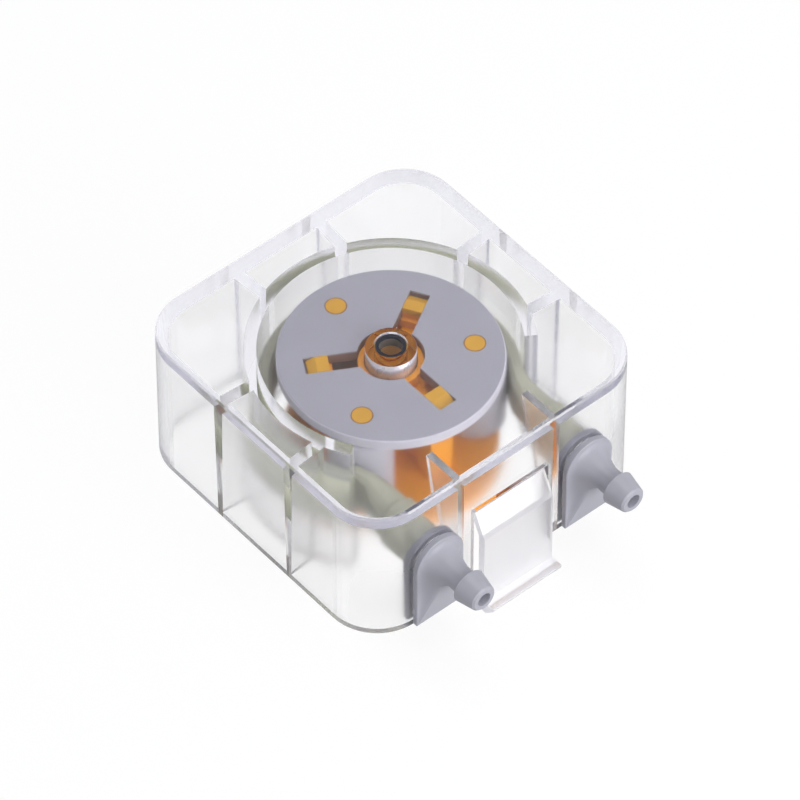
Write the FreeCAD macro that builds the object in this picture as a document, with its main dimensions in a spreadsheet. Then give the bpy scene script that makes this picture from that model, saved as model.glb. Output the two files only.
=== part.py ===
import FreeCAD, Part
import math
import os
import Sketcher

# Peristaltic pump head: a clear clip-on cover with a curved raceway, a three-roller
# rotor that squeezes a soft tube against it, and two hose connectors in the front wall.
# Millimetres. +Z is up, the drive axis is Z, the front wall with the connectors faces -Y.
# The origin is where the drive axis meets the plane of the cover's open underside.

SIZES = [
    # clear cover
    ("bodyWidth", 60.0, "outside width, left to right"),
    ("bodyDepth", 60.4, "outside depth, front to back"),
    ("bodyHeight", 28.3, "outside height"),
    ("cornerRadius", 9.4, "outside corner radius in plan"),
    ("wallThick", 2.0, "outer wall"),
    ("plateThick", 3.2, "top plate"),
    ("edgeChamfer", 0.3, "chamfer on the top edge"),
    ("cutPast", 1.0, "how far a cut runs on past the surface that it opens"),
    ("raceRadius", 22.0, "inner radius of the raceway that the tube lies against"),
    ("raceThick", 2.2, "raceway wall"),
    ("raceGap", 56.0, "angle from the front centre to each raceway end, degrees"),
    ("ribSpread", 8.9, "stiffening rib's distance from the middle, at the outer wall"),
    ("ribSpreadInner", 8.3, "the same at the raceway"),
    ("ribThick", 2.2, "rib thickness under the top plate"),
    ("ribDraft", 1.1, "rib draft, degrees"),
    ("gussetSide", 10.2, "front gusset's distance from the middle"),
    ("gussetThick", 1.3, "front gusset thickness"),
    ("gussetTop", 6.7, "gusset depth under the top plate"),
    ("gussetFoot", 2.2, "gusset depth at its foot"),
    ("bossRadius", 4.25, "outside radius of the pivot boss under the top plate"),
    ("bossDip", 2.1, "how far the boss reaches below the rotor disc"),
    ("bossRoof", 2.0, "plate left above the blind pivot hole"),
    # snap latch in the front wall
    ("latchWidth", 14.8, "latch width"),
    ("latchThick", 1.4, "latch thickness"),
    ("latchTop", 17.1, "height of the bending root"),
    ("latchInset", 0.4, "root's front face behind the wall's outer face"),
    ("latchKnee", 12.3, "height where the slope turns straight down"),
    ("latchOut", 2.0, "straight part's distance in front of the wall"),
    ("catchLevel", 3.0, "catch shoulder below the cover's underside"),
    ("catchNose", 2.4, "how far the catch sticks out"),
    ("catchLip", 0.6, "height of the catch's blunt edge"),
    ("catchTip", 5.6, "latch's lowest point below the cover's underside"),
    ("catchBevel", 0.5, "flat left at the tip in front of the straight part"),
    ("windowClear", 0.6, "gap at each side of the latch"),
    ("hingeClear", 0.1, "gap over the bending root"),
    # connectors
    ("portSpread", 16.05, "connector axis to the middle"),
    ("portHeight", 13.2, "connector axis and tube height"),
    ("flangeHalf", 4.95, "half width of the connector flange"),
    ("flangeThick", 1.1, "outer flange"),
    ("flangeFoot", 0.3, "flange foot above the cover's underside"),
    ("innerFlange", 1.1, "inner flange"),
    ("webHalf", 3.9, "half width of the web in the wall's notch"),
    ("seatClear", 0.1, "play of the connector in its notch"),
    ("hopperInset", 0.35, "flat rim left round the flange's raised front"),
    ("hopperReach", 2.9, "raised front's height over the flange"),
    ("hopperRadius", 2.6, "radius where the raised front meets the neck"),
    ("neckRadius", 2.25, "outer neck"),
    ("barbStart", 6.8, "back of the outer barb, from the flange's front"),
    ("barbRadius", 3.15, "outer barb's largest radius"),
    ("barbReach", 10.8, "outer barb's tip, from the flange's front"),
    ("barbTipRadius", 2.4, "outer barb's radius at the tip"),
    ("tipChamfer", 0.35, "chamfer on the barb's tip"),
    ("portBore", 1.25, "bore radius of the connector"),
    ("innerReach", 6.4, "inner barb's length from the inner flange"),
    ("innerBarbStart", 3.4, "back of the inner barb, from the inner flange"),
    ("innerBarbRadius", 2.2, "inner barb's largest radius"),
    ("innerNeckRadius", 1.8, "inner neck"),
    # rotor
    ("rotorFoot", 0.4, "rotor hub's underside above the cover's underside"),
    ("floorLevel", 2.6, "underside of the rotor's floor"),
    ("floorThick", 2.4, "rotor floor"),
    ("floorEdgeGap", 4.0, "raceway to the rotor floor's edge"),
    ("floorChamfer", 0.4, "chamfer on the rotor floor's edge"),
    ("footRadius", 6.6, "hub foot under the floor"),
    ("discGap", 1.8, "top plate to the rotor disc"),
    ("discThick", 2.2, "rotor disc"),
    ("discEdgeGap", 3.13, "raceway to the rotor disc's edge"),
    ("discChamfer", 0.2, "chamfer on the disc's edges"),
    ("discHole", 5.6, "radius of the disc's centre hole"),
    ("hubClear", 0.15, "hub collar inside the disc's centre hole"),
    ("collarDrop", 1.5, "hub collar's top under the disc's top"),
    ("wellClear", 0.2, "play of the boss in the hub's well"),
    ("wellDepth", 0.5, "well floor under the boss"),
    ("spigotRadius", 2.75, "pivot spigot"),
    ("pivotClear", 0.05, "running play of the spigot in the boss"),
    ("pivotEnd", 0.3, "gap above the spigot's end"),
    ("rollerRadius", 5.3, "roller"),
    ("pinRadius", 1.825, "roller axle"),
    ("pinClear", 0.06, "running play of a roller on its axle"),
    ("discFit", 0.05, "play of the disc on the axles, posts and hooks"),
    ("squeezeGap", 2.7, "raceway to a roller's face: twice the tube's wall, pressed"),
    ("rollerEndGap", 0.2, "play at each end of a roller"),
    ("rollerChamfer", 0.4, "chamfer on the roller's ends"),
    ("postWidth", 4.7, "hook post's width"),
    ("postInset", 5.97, "disc's edge to a post's outer face"),
    ("postDepth", 3.3, "hook post's depth, inwards"),
    ("webWidth", 3.0, "web between the hub and a post"),
    ("webRoot", 0.4, "how far a web runs into the hub"),
    ("webDrop", 1.6, "web's top under the disc"),
    ("stemInset", 0.3, "post's outer face to the hook stem's"),
    ("stemDepth", 2.3, "hook stem's depth, inwards"),
    ("hookReach", 1.3, "how far the hook stands out from its stem"),
    ("hookSlope", 1.5, "length of the hook's sloping top"),
    ("hookLip", 0.3, "height of the hook's blunt tip"),
    ("slotWidth", 3.5, "slot in the disc"),
    ("slotClear", 0.5, "room past the hook's tip in the disc's recess"),
    ("ledgeDepth", 1.1, "depth of the recess that the hook holds"),
    ("crossWidth", 2.1, "drive slot across the hub's underside"),
    ("crossDepth", 2.4, "depth of the drive slot"),
    ("shaftRadius", 2.0, "bore for the motor shaft"),
    ("bushWall", 0.4, "wall of the bush that lines the bore"),
    ("bushPress", 0.02, "gap between the bush and the hub"),
    ("bushHead", 2.575, "radius of the bush's head"),
    ("bushHeadThick", 0.5, "thickness of the bush's head"),
    # tube
    ("tubeRadius", 3.2, "tube's outside radius where it is round"),
    ("tubeWall", 1.6, "tube wall"),
    ("tubeStretch", 0.45, "growth of the tube's radius over the inner barb"),
    ("tubeGrip", 0.05, "gap between the tube and the inner barb"),
    ("tubeSeat", 0.05, "gap between the tube and the raceway"),
    ("rollerPass", 0.25, "gap between the pressed tube and a passing roller"),
    ("tubeSlit", 0.24, "opening left in the pressed tube"),
    ("tubeFlatHeight", 9.2, "height of the pressed tube"),
    ("tubeRelax", 1.2, "round length of the tube past the inner barb, before it flattens"),
]

doc = FreeCAD.newDocument("PumpHead")
sheet = doc.addObject("Spreadsheet::Sheet", "Sizes")
for row, (alias, value, meaning) in enumerate(SIZES, start=1):
    sheet.set("A%d" % row, meaning)
    sheet.set("B%d" % row, str(value))
    sheet.setAlias("B%d" % row, alias)
doc.recompute()

# Levels and radii that several pieces share, written once as formulas on the sheet's names
PLATE_UNDER = "(Sizes.bodyHeight - Sizes.plateThick)"
FRONT = "(-Sizes.bodyDepth / 2)"
FLOOR_TOP = "(Sizes.floorLevel + Sizes.floorThick)"
DISC_TOP = "(%s - Sizes.discGap)" % PLATE_UNDER
DISC_LOW = "(%s - Sizes.discThick)" % DISC_TOP
BOSS_END = "(%s - Sizes.bossDip)" % DISC_LOW
PIVOT_ROOF = "(Sizes.bodyHeight - Sizes.bossRoof)"
BUSH_TOP = "(%s - Sizes.pivotEnd)" % PIVOT_ROOF
SPIGOT_TOP = "(%s - Sizes.bushHeadThick)" % BUSH_TOP
LEDGE = "(%s - Sizes.ledgeDepth)" % DISC_TOP
HUB_RADIUS = "(Sizes.discHole - Sizes.hubClear)"
BUSH_RADIUS = "(Sizes.shaftRadius + Sizes.bushWall)"
WINDOW_TOP = "(Sizes.latchTop + Sizes.latchThick / 2 + Sizes.hingeClear)"
PIN_CIRCLE = "(Sizes.raceRadius - Sizes.squeezeGap - Sizes.rollerRadius)"
DISC_RIM = "(Sizes.raceRadius - Sizes.discEdgeGap)"
POST_OUT = "(%s - Sizes.postInset)" % DISC_RIM
POST_IN = "(%s - Sizes.postDepth)" % POST_OUT
STEM_OUT = "(%s - Sizes.stemInset)" % POST_OUT
STEM_IN = "(%s - Sizes.stemDepth)" % STEM_OUT
HOOK_TIP = "(%s + Sizes.hookReach)" % STEM_OUT
INNER_FACE = "(Sizes.wallThick + Sizes.seatClear)"
ROLLER_ANGLES = (90, 210, 330)


def size(name):
    """One driving size as a number."""
    return float(sheet.get(name))


def new_body(label, x=None, y=None, z=None, turn=None):
    """A body for one sub-part, placed by formulas where it isn't at the origin."""
    body = doc.addObject("PartDesign::Body", label)
    body.Label = label
    for axis, formula in (("x", x), ("y", y), ("z", z)):
        if formula:
            body.setExpression("Placement.Base." + axis, formula)
    return body


def role(body, name):
    """One of the body's own origin planes or axes."""
    return [item for item in body.Origin.OriginFeatures if item.Role == name][0]


def new_sketch(body, name, plane, level=None):
    """A sketch on one of the body's origin planes, lifted off it by a formula if one is given."""
    sketch = body.newObject("Sketcher::SketchObject", name)
    sketch.AttachmentSupport = (role(body, plane), "")
    sketch.MapMode = "FlatFace"
    if level:
        sketch.setExpression("AttachmentOffset.Base.z", level)
    return sketch


def drive(sketch, kind, geometry, point, value, formula):
    """Hold a point's X or Y distance from the sketch's origin to a formula."""
    if formula == "0":
        axis = -2 if kind == "DistanceX" else -1
        sketch.addConstraint(Sketcher.Constraint("PointOnObject", geometry, point, axis))
        return
    index = sketch.addConstraint(Sketcher.Constraint(kind, -1, 1, geometry, point, value))
    bind(sketch, index, "%s%d" % (kind[-1].lower() + "At", index), formula)


def bind(sketch, index, name, formula):
    """Name a dimension of a sketch and give it its formula."""
    sketch.renameConstraint(index, name)
    sketch.setExpression("Constraints." + name, formula)


def outline(body, name, plane, corners, level=None):
    """A closed outline of straight edges. Each corner is a pair of formulas."""
    sketch = new_sketch(body, name, plane, level)
    count = len(corners)
    start = [FreeCAD.Vector(10 * math.cos(math.tau * i / count), 10 * math.sin(math.tau * i / count))
             for i in range(count)]
    for i in range(count):
        sketch.addGeometry(Part.LineSegment(start[i], start[(i + 1) % count]), False)
    for i in range(count):
        sketch.addConstraint(Sketcher.Constraint("Coincident", i, 2, (i + 1) % count, 1))
    for i, (across, along) in enumerate(corners):
        drive(sketch, "DistanceX", i, 1, start[i].x, across)
        drive(sketch, "DistanceY", i, 1, start[i].y, along)
    return sketch


def block(body, name, plane, low, high, level=None):
    """A rectangle between two corners, each a pair of formulas."""
    corners = [low, (high[0], low[1]), high, (low[0], high[1])]
    return outline(body, name, plane, corners, level)


def rounded_block(body, name, half_width, half_depth, radius):
    """A rectangle with round corners, centred on the Z axis. The numbers are only a first guess
    for the solver; the formulas set the sizes."""
    sketch = new_sketch(body, name, "XY_Plane")
    half, bend = 30.0, 9.0
    flat = half - bend
    turns = [(math.cos(math.pi / 2 * i), math.sin(math.pi / 2 * i)) for i in range(4)]
    for ahead, aside in turns:
        start = FreeCAD.Vector(half * ahead + flat * aside, half * aside - flat * ahead)
        end = FreeCAD.Vector(half * ahead - flat * aside, half * aside + flat * ahead)
        sketch.addGeometry(Part.LineSegment(start, end), False)
    for i, (ahead, aside) in enumerate(turns):
        centre = FreeCAD.Vector(flat * (ahead - aside), flat * (aside + ahead))
        circle = Part.Circle(centre, FreeCAD.Vector(0, 0, 1), bend)
        sketch.addGeometry(Part.ArcOfCircle(circle, math.pi / 2 * i, math.pi / 2 * (i + 1)), False)
    for i in range(4):
        sketch.addConstraint(Sketcher.Constraint("Tangent", i, 2, 4 + i, 1))
        sketch.addConstraint(Sketcher.Constraint("Tangent", 4 + i, 2, (i + 1) % 4, 1))
        sketch.addConstraint(Sketcher.Constraint("Horizontal" if i % 2 else "Vertical", i))
    for i in range(3):
        sketch.addConstraint(Sketcher.Constraint("Equal", 4 + i, 5 + i))
    limit = sketch.addConstraint(Sketcher.Constraint("Radius", 4, bend))
    bind(sketch, limit, "corner", radius)
    drive(sketch, "DistanceX", 0, 1, half, half_width)
    drive(sketch, "DistanceY", 1, 1, half, half_depth)
    drive(sketch, "DistanceX", 2, 1, -half, "-" + half_width)
    drive(sketch, "DistanceY", 3, 1, -half, "-" + half_depth)
    return sketch


def rounds(body, name, plane, circles, level=None):
    """Circles, each a radius and a centre given by formulas."""
    sketch = new_sketch(body, name, plane, level)
    for radius, across, along in circles:
        index = sketch.addGeometry(Part.Circle(FreeCAD.Vector(1, 2, 0), FreeCAD.Vector(0, 0, 1), 3), False)
        limit = sketch.addConstraint(Sketcher.Constraint("Radius", index, 3))
        bind(sketch, limit, "radius%d" % limit, radius)
        drive(sketch, "DistanceX", index, 3, 1, across)
        drive(sketch, "DistanceY", index, 3, 2, along)
    return sketch


def arch(body, name, half, foot, level=None):
    """A straight-sided outline with a half-round top, centred on the sketch's origin."""
    sketch = new_sketch(body, name, "XZ_Plane", level)
    centre = FreeCAD.Vector(0, 0, 0)
    top = Part.ArcOfCircle(Part.Circle(centre, FreeCAD.Vector(0, 0, 1), 4), 0, math.pi)
    sketch.addGeometry(top, False)
    ends = [(4, 0), (-4, 0), (-4, -9), (4, -9)]
    ends = [FreeCAD.Vector(x, y, 0) for x, y in ends]
    for first, last in ((1, 2), (2, 3), (3, 0)):
        sketch.addGeometry(Part.LineSegment(ends[first], ends[last]), False)
    sketch.addConstraint(Sketcher.Constraint("Coincident", 0, 3, -1, 1))
    for first, last in ((0, 1), (1, 2), (2, 3)):
        sketch.addConstraint(Sketcher.Constraint("Coincident", first, 2, last, 1))
    sketch.addConstraint(Sketcher.Constraint("Coincident", 3, 2, 0, 1))
    sketch.addConstraint(Sketcher.Constraint("PointOnObject", 0, 1, -1))
    sketch.addConstraint(Sketcher.Constraint("PointOnObject", 0, 2, -1))
    sketch.addConstraint(Sketcher.Constraint("Vertical", 1))
    sketch.addConstraint(Sketcher.Constraint("Vertical", 3))
    sketch.addConstraint(Sketcher.Constraint("Horizontal", 2))
    limit = sketch.addConstraint(Sketcher.Constraint("Radius", 0, 4))
    bind(sketch, limit, "half", half)
    drive(sketch, "DistanceY", 2, 1, -9, foot)
    return sketch


def feature(body, kind, name, profile, **settings):
    """A sketch-based feature. A setting that is text is a formula."""
    made = body.newObject("PartDesign::" + kind, name)
    made.Profile = profile
    for key, value in settings.items():
        if isinstance(value, str):
            made.setExpression(key, value)
        else:
            setattr(made, key, value)
    profile.Visibility = False
    doc.recompute()
    return made


def pad(body, name, profile, length, **settings):
    return feature(body, "Pad", name, profile, Length=length, **settings)


def cut(body, name, profile, length, **settings):
    """A pocket, which must take material away."""
    before = body.Shape.Volume
    made = feature(body, "Pocket", name, profile, Length=length, **settings)
    check_removed(body, name, before)
    return made


def check_removed(body, name, before):
    if not body.Shape.Volume < before - 1e-6:
        raise RuntimeError(name + " removes nothing")


def turn(body, kind, name, profile, axis, **settings):
    """A revolution or groove about one of the profile's own axes."""
    made = body.newObject("PartDesign::" + kind, name)
    made.Profile = profile
    made.ReferenceAxis = (profile, [axis])
    before = body.Shape.Volume if kind == "Groove" else None
    settings.setdefault("Angle", 360.0)
    for key, value in settings.items():
        if isinstance(value, str):
            made.setExpression(key, value)
        else:
            setattr(made, key, value)
    doc.recompute()
    if before is not None:
        check_removed(body, name, before)
    return made


def around(body, name, originals, count, sweep=360.0):
    """Copies of features round the Z axis."""
    pattern = body.newObject("PartDesign::PolarPattern", name)
    pattern.Originals = originals
    pattern.Axis = (role(body, "Z_Axis"), [""])
    pattern.Angle = sweep
    pattern.Occurrences = count
    body.Tip = pattern
    doc.recompute()
    return pattern


def mirrored(body, name, originals):
    """Copies of features on the other side of the YZ plane."""
    mirror = body.newObject("PartDesign::Mirrored", name)
    mirror.Originals = originals
    mirror.MirrorPlane = (role(body, "YZ_Plane"), [""])
    body.Tip = mirror
    doc.recompute()
    return mirror


def dress(body, kind, name, chosen, amount, key):
    """A fillet or chamfer on the edges of the body that the test chooses."""
    last = body.Tip
    names = ["Edge%d" % (i + 1) for i, edge in enumerate(last.Shape.Edges) if chosen(edge)]
    made = body.newObject("PartDesign::" + kind, name)
    made.Base = (last, names)
    made.setExpression(key, amount)
    body.Tip = made
    doc.recompute()
    return made


def cover_shell():
    """The clear cover: one moulding with plate, walls, raceway, ribs, gussets and pivot boss."""
    body = new_body("cover_shell")
    plan = rounded_block(body, "cover_plan", "Sizes.bodyWidth / 2", "Sizes.bodyDepth / 2",
                         "Sizes.cornerRadius")
    pad(body, "cover_block", plan, "Sizes.bodyHeight")
    hollow = rounded_block(body, "hollow_plan", "(Sizes.bodyWidth / 2 - Sizes.wallThick)",
                           "(Sizes.bodyDepth / 2 - Sizes.wallThick)", "Sizes.cornerRadius - Sizes.wallThick")
    cut(body, "hollow", hollow, PLATE_UNDER, Reversed=True)

    # raceway wall, a ring open at the front
    race = block(body, "race_profile", "YZ_Plane", ("Sizes.raceRadius", "0"),
                 ("Sizes.raceRadius + Sizes.raceThick", PLATE_UNDER + " + Sizes.plateThick / 2"))
    turn(body, "Revolution", "raceway", race, "V_Axis", Angle="360 - 2 * Sizes.raceGap", Midplane=True)

    # two drafted ribs from the right wall to the raceway, repeated at the back and on the left
    ribs = []
    wall_end = "Sizes.bodyWidth / 2 - Sizes.wallThick / 2"
    race_end = "sqrt((Sizes.raceRadius + Sizes.raceThick / 2) ^ 2 - Sizes.ribSpreadInner ^ 2)"
    half = "Sizes.ribThick / 2"
    for side in ("", "-"):
        spread = side + "Sizes.ribSpread"
        spread_in = side + "Sizes.ribSpreadInner"
        corners = [(race_end, spread_in + " - " + half),
                   (wall_end, spread + " - " + half),
                   (wall_end, spread + " + " + half),
                   (race_end, spread_in + " + " + half)]
        name = "rib_right" if side else "rib_left"
        plan = outline(body, name + "_plan", "XY_Plane", corners, PLATE_UNDER + " + Sizes.plateThick / 2")
        ribs.append(pad(body, name, plan, PLATE_UNDER + " + Sizes.plateThick / 2", Reversed=True,
                        TaperAngle="-Sizes.ribDraft"))
    around(body, "ribs", ribs, 3, 180.0)

    # two tapered gussets behind the front wall, one each side of the latch
    behind = FRONT + " + Sizes.wallThick"
    corners = [(FRONT + " + Sizes.wallThick / 2", "0"),
               (behind + " + Sizes.gussetFoot", "0"),
               (behind + " + Sizes.gussetTop", PLATE_UNDER),
               (behind + " + Sizes.gussetTop", PLATE_UNDER + " + Sizes.plateThick / 2"),
               (FRONT + " + Sizes.wallThick / 2", PLATE_UNDER + " + Sizes.plateThick / 2")]
    side_view = outline(body, "gusset_profile", "YZ_Plane", corners, "Sizes.gussetSide")
    gusset = pad(body, "gusset", side_view, "Sizes.gussetThick", Midplane=True)
    mirrored(body, "gussets", [gusset])

    # pivot boss with its blind hole
    boss = block(body, "boss_profile", "XZ_Plane", ("0", BOSS_END),
                 ("Sizes.bossRadius", PLATE_UNDER + " + Sizes.plateThick / 4"))
    turn(body, "Revolution", "pivot_boss", boss, "V_Axis")
    hole = block(body, "pivot_profile", "XZ_Plane", ("0", BOSS_END + " - Sizes.cutPast"),
                 ("Sizes.spigotRadius + Sizes.pivotClear", PIVOT_ROOF))
    turn(body, "Groove", "pivot_hole", hole, "V_Axis")

    # latch window and the two connector notches, all open at the foot of the front wall
    window_half = "(Sizes.latchWidth / 2 + Sizes.windowClear)"
    window = block(body, "window_plan", "XZ_Plane", ("-" + window_half, "-Sizes.cutPast"),
                   (window_half, WINDOW_TOP), "-(" + FRONT + ") - Sizes.wallThick")
    cut(body, "latch_window", window, "Sizes.wallThick + Sizes.cutPast", Reversed=True)
    notch = new_notch(body)
    mirrored(body, "port_notches", [notch])

    top = size("bodyHeight")

    def top_edge(edge):
        return edge.BoundBox.ZMin > top - 1e-6

    dress(body, "Chamfer", "top_edge", top_edge, "Sizes.edgeChamfer", "Size")
    return body


def new_notch(body):
    """The right-hand connector's notch: straight sides, half-round top, open at the foot."""
    centre = FreeCAD.Vector(16, 13, 0)
    sketch = new_sketch(body, "notch_plan", "XZ_Plane", "-(" + FRONT + ") - Sizes.wallThick")
    circle = Part.Circle(centre, FreeCAD.Vector(0, 0, 1), 4)
    sketch.addGeometry(Part.ArcOfCircle(circle, 0, math.pi), False)
    foot = [(20, 13), (12, 13), (12, -1), (20, -1)]
    foot = [FreeCAD.Vector(x, y, 0) for x, y in foot]
    for first, last in ((1, 2), (2, 3), (3, 0)):
        sketch.addGeometry(Part.LineSegment(foot[first], foot[last]), False)
    for first, last in ((0, 1), (1, 2), (2, 3)):
        sketch.addConstraint(Sketcher.Constraint("Coincident", first, 2, last, 1))
    sketch.addConstraint(Sketcher.Constraint("Coincident", 3, 2, 0, 1))
    sketch.addConstraint(Sketcher.Constraint("Vertical", 1))
    sketch.addConstraint(Sketcher.Constraint("Vertical", 3))
    sketch.addConstraint(Sketcher.Constraint("Horizontal", 2))
    sketch.addConstraint(Sketcher.Constraint("Horizontal", 0, 1, 0, 3))
    sketch.addConstraint(Sketcher.Constraint("Horizontal", 0, 2, 0, 3))
    drive(sketch, "DistanceX", 0, 3, 16, "Sizes.portSpread")
    drive(sketch, "DistanceY", 0, 3, 13, "Sizes.portHeight")
    drive(sketch, "DistanceY", 2, 1, -1, "-Sizes.cutPast")
    limit = sketch.addConstraint(Sketcher.Constraint("Radius", 0, 4))
    bind(sketch, limit, "half", "Sizes.webHalf + Sizes.seatClear")
    return cut(body, "port_notch", sketch, "Sizes.wallThick + Sizes.cutPast", Reversed=True)


def release_latch():
    """The snap latch: a springy tongue with a catch, pressed in to free the cover."""
    body = new_body("release_latch")
    face = FRONT + " - Sizes.latchOut"
    root = FRONT + " + Sizes.latchInset"
    corners = [(root, "Sizes.latchTop"),
               (face, "Sizes.latchKnee"),
               (face, "-Sizes.catchLevel"),
               (face + " - Sizes.catchNose", "-Sizes.catchLevel"),
               (face + " - Sizes.catchNose", "-Sizes.catchLevel - Sizes.catchLip"),
               (face + " - Sizes.catchBevel", "-Sizes.catchTip"),
               (face + " + Sizes.latchThick", "-Sizes.catchTip"),
               (face + " + Sizes.latchThick", "Sizes.latchKnee"),
               (root + " + Sizes.latchThick", "Sizes.latchTop")]
    side_view = outline(body, "latch_profile", "YZ_Plane", corners)
    pad(body, "tongue", side_view, "Sizes.latchWidth", Midplane=True)
    bead = rounds(body, "root_plan", "YZ_Plane",
                  [("Sizes.latchThick / 2", root + " + Sizes.latchThick / 2", "Sizes.latchTop")])
    pad(body, "bending_root", bead, "Sizes.latchWidth", Midplane=True)
    return body


def connector(label, side):
    """A hose connector. Its own origin is its axis on the wall's outer face."""
    body = new_body(label, side + "Sizes.portSpread", FRONT, "Sizes.portHeight")
    foot = "Sizes.flangeFoot - Sizes.portHeight"
    plate = arch(body, label + "_flange_plan", "Sizes.flangeHalf", foot)
    pad(body, label + "_flange", plate, "Sizes.flangeThick")
    web = arch(body, label + "_web_plan", "Sizes.webHalf", foot)
    pad(body, label + "_web", web, INNER_FACE, Reversed=True)
    back = arch(body, label + "_back_plan", "Sizes.flangeHalf", foot, "-" + INNER_FACE)
    pad(body, label + "_inner_flange", back, "Sizes.innerFlange", Reversed=True)

    # raised front, blending the flange's outline into the round neck
    rim = arch(body, label + "_hopper_foot", "Sizes.flangeHalf - Sizes.hopperInset",
               foot + " + Sizes.hopperInset", "Sizes.flangeThick")
    mouth = hopper_mouth(body, label + "_hopper_mouth")
    hopper = body.newObject("PartDesign::AdditiveLoft", label + "_hopper")
    hopper.Profile = rim
    hopper.Sections = [mouth]
    hopper.Ruled = True
    body.Tip = hopper
    doc.recompute()

    # outer barb
    front = "(-Sizes.flangeThick)"
    corners = [("0", "0"),
               ("0", "Sizes.neckRadius"),
               (front + " - Sizes.barbStart", "Sizes.neckRadius"),
               (front + " - Sizes.barbStart", "Sizes.barbRadius"),
               (front + " - Sizes.barbReach + Sizes.tipChamfer", "Sizes.barbTipRadius"),
               (front + " - Sizes.barbReach", "Sizes.barbTipRadius - Sizes.tipChamfer"),
               (front + " - Sizes.barbReach", "0")]
    barb = outline(body, label + "_barb_profile", "YZ_Plane", corners)
    turn(body, "Revolution", label + "_barb", barb, "H_Axis")

    # inner barb that holds the pump tube
    inside = "(" + INNER_FACE + " + Sizes.innerFlange)"
    corners = [(INNER_FACE, "0"),
               (INNER_FACE, "Sizes.innerNeckRadius"),
               (inside + " + Sizes.innerBarbStart", "Sizes.innerNeckRadius"),
               (inside + " + Sizes.innerBarbStart", "Sizes.innerBarbRadius"),
               (inside + " + Sizes.innerReach", "Sizes.innerNeckRadius"),
               (inside + " + Sizes.innerReach", "0")]
    barb = outline(body, label + "_inner_profile", "YZ_Plane", corners)
    turn(body, "Revolution", label + "_inner_barb", barb, "H_Axis")

    # bore from tip to tip
    outer_tip = "Sizes.flangeThick + Sizes.barbReach + Sizes.cutPast"
    inner_tip = inside + " + Sizes.innerReach + Sizes.cutPast"
    bore = rounds(body, label + "_bore_plan", "XZ_Plane", [("Sizes.portBore", "0", "0")], outer_tip)
    cut(body, label + "_bore", bore, outer_tip + " + " + inner_tip, Reversed=False)
    return body


def hopper_mouth(body, name):
    """The round end of the raised front, in four arcs that match the flange outline's edges."""
    sketch = new_sketch(body, name, "XZ_Plane", "Sizes.flangeThick + Sizes.hopperReach")
    corner = math.pi / 4
    circle = Part.Circle(FreeCAD.Vector(0, 0, 0), FreeCAD.Vector(0, 0, 1), 2.6)
    spans = ((0, math.pi), (math.pi, math.pi + corner), (math.pi + corner, math.tau - corner),
             (math.tau - corner, math.tau))
    for first, last in spans:
        sketch.addGeometry(Part.ArcOfCircle(circle, first, last), False)
    for i in range(4):
        sketch.addConstraint(Sketcher.Constraint("Coincident", i, 3, -1, 1))
        sketch.addConstraint(Sketcher.Constraint("Coincident", i, 2, (i + 1) % 4, 1))
    sketch.addConstraint(Sketcher.Constraint("PointOnObject", 0, 1, -1))
    sketch.addConstraint(Sketcher.Constraint("PointOnObject", 0, 2, -1))
    sketch.addConstraint(Sketcher.Constraint("Symmetric", 2, 1, 2, 2, -2))
    limit = sketch.addConstraint(Sketcher.Constraint("Radius", 0, 2.6))
    bind(sketch, limit, "mouth", "Sizes.hopperRadius")
    drive(sketch, "DistanceY", 2, 1, -1.8, "-Sizes.hopperRadius * sin(45)")
    return sketch


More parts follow.
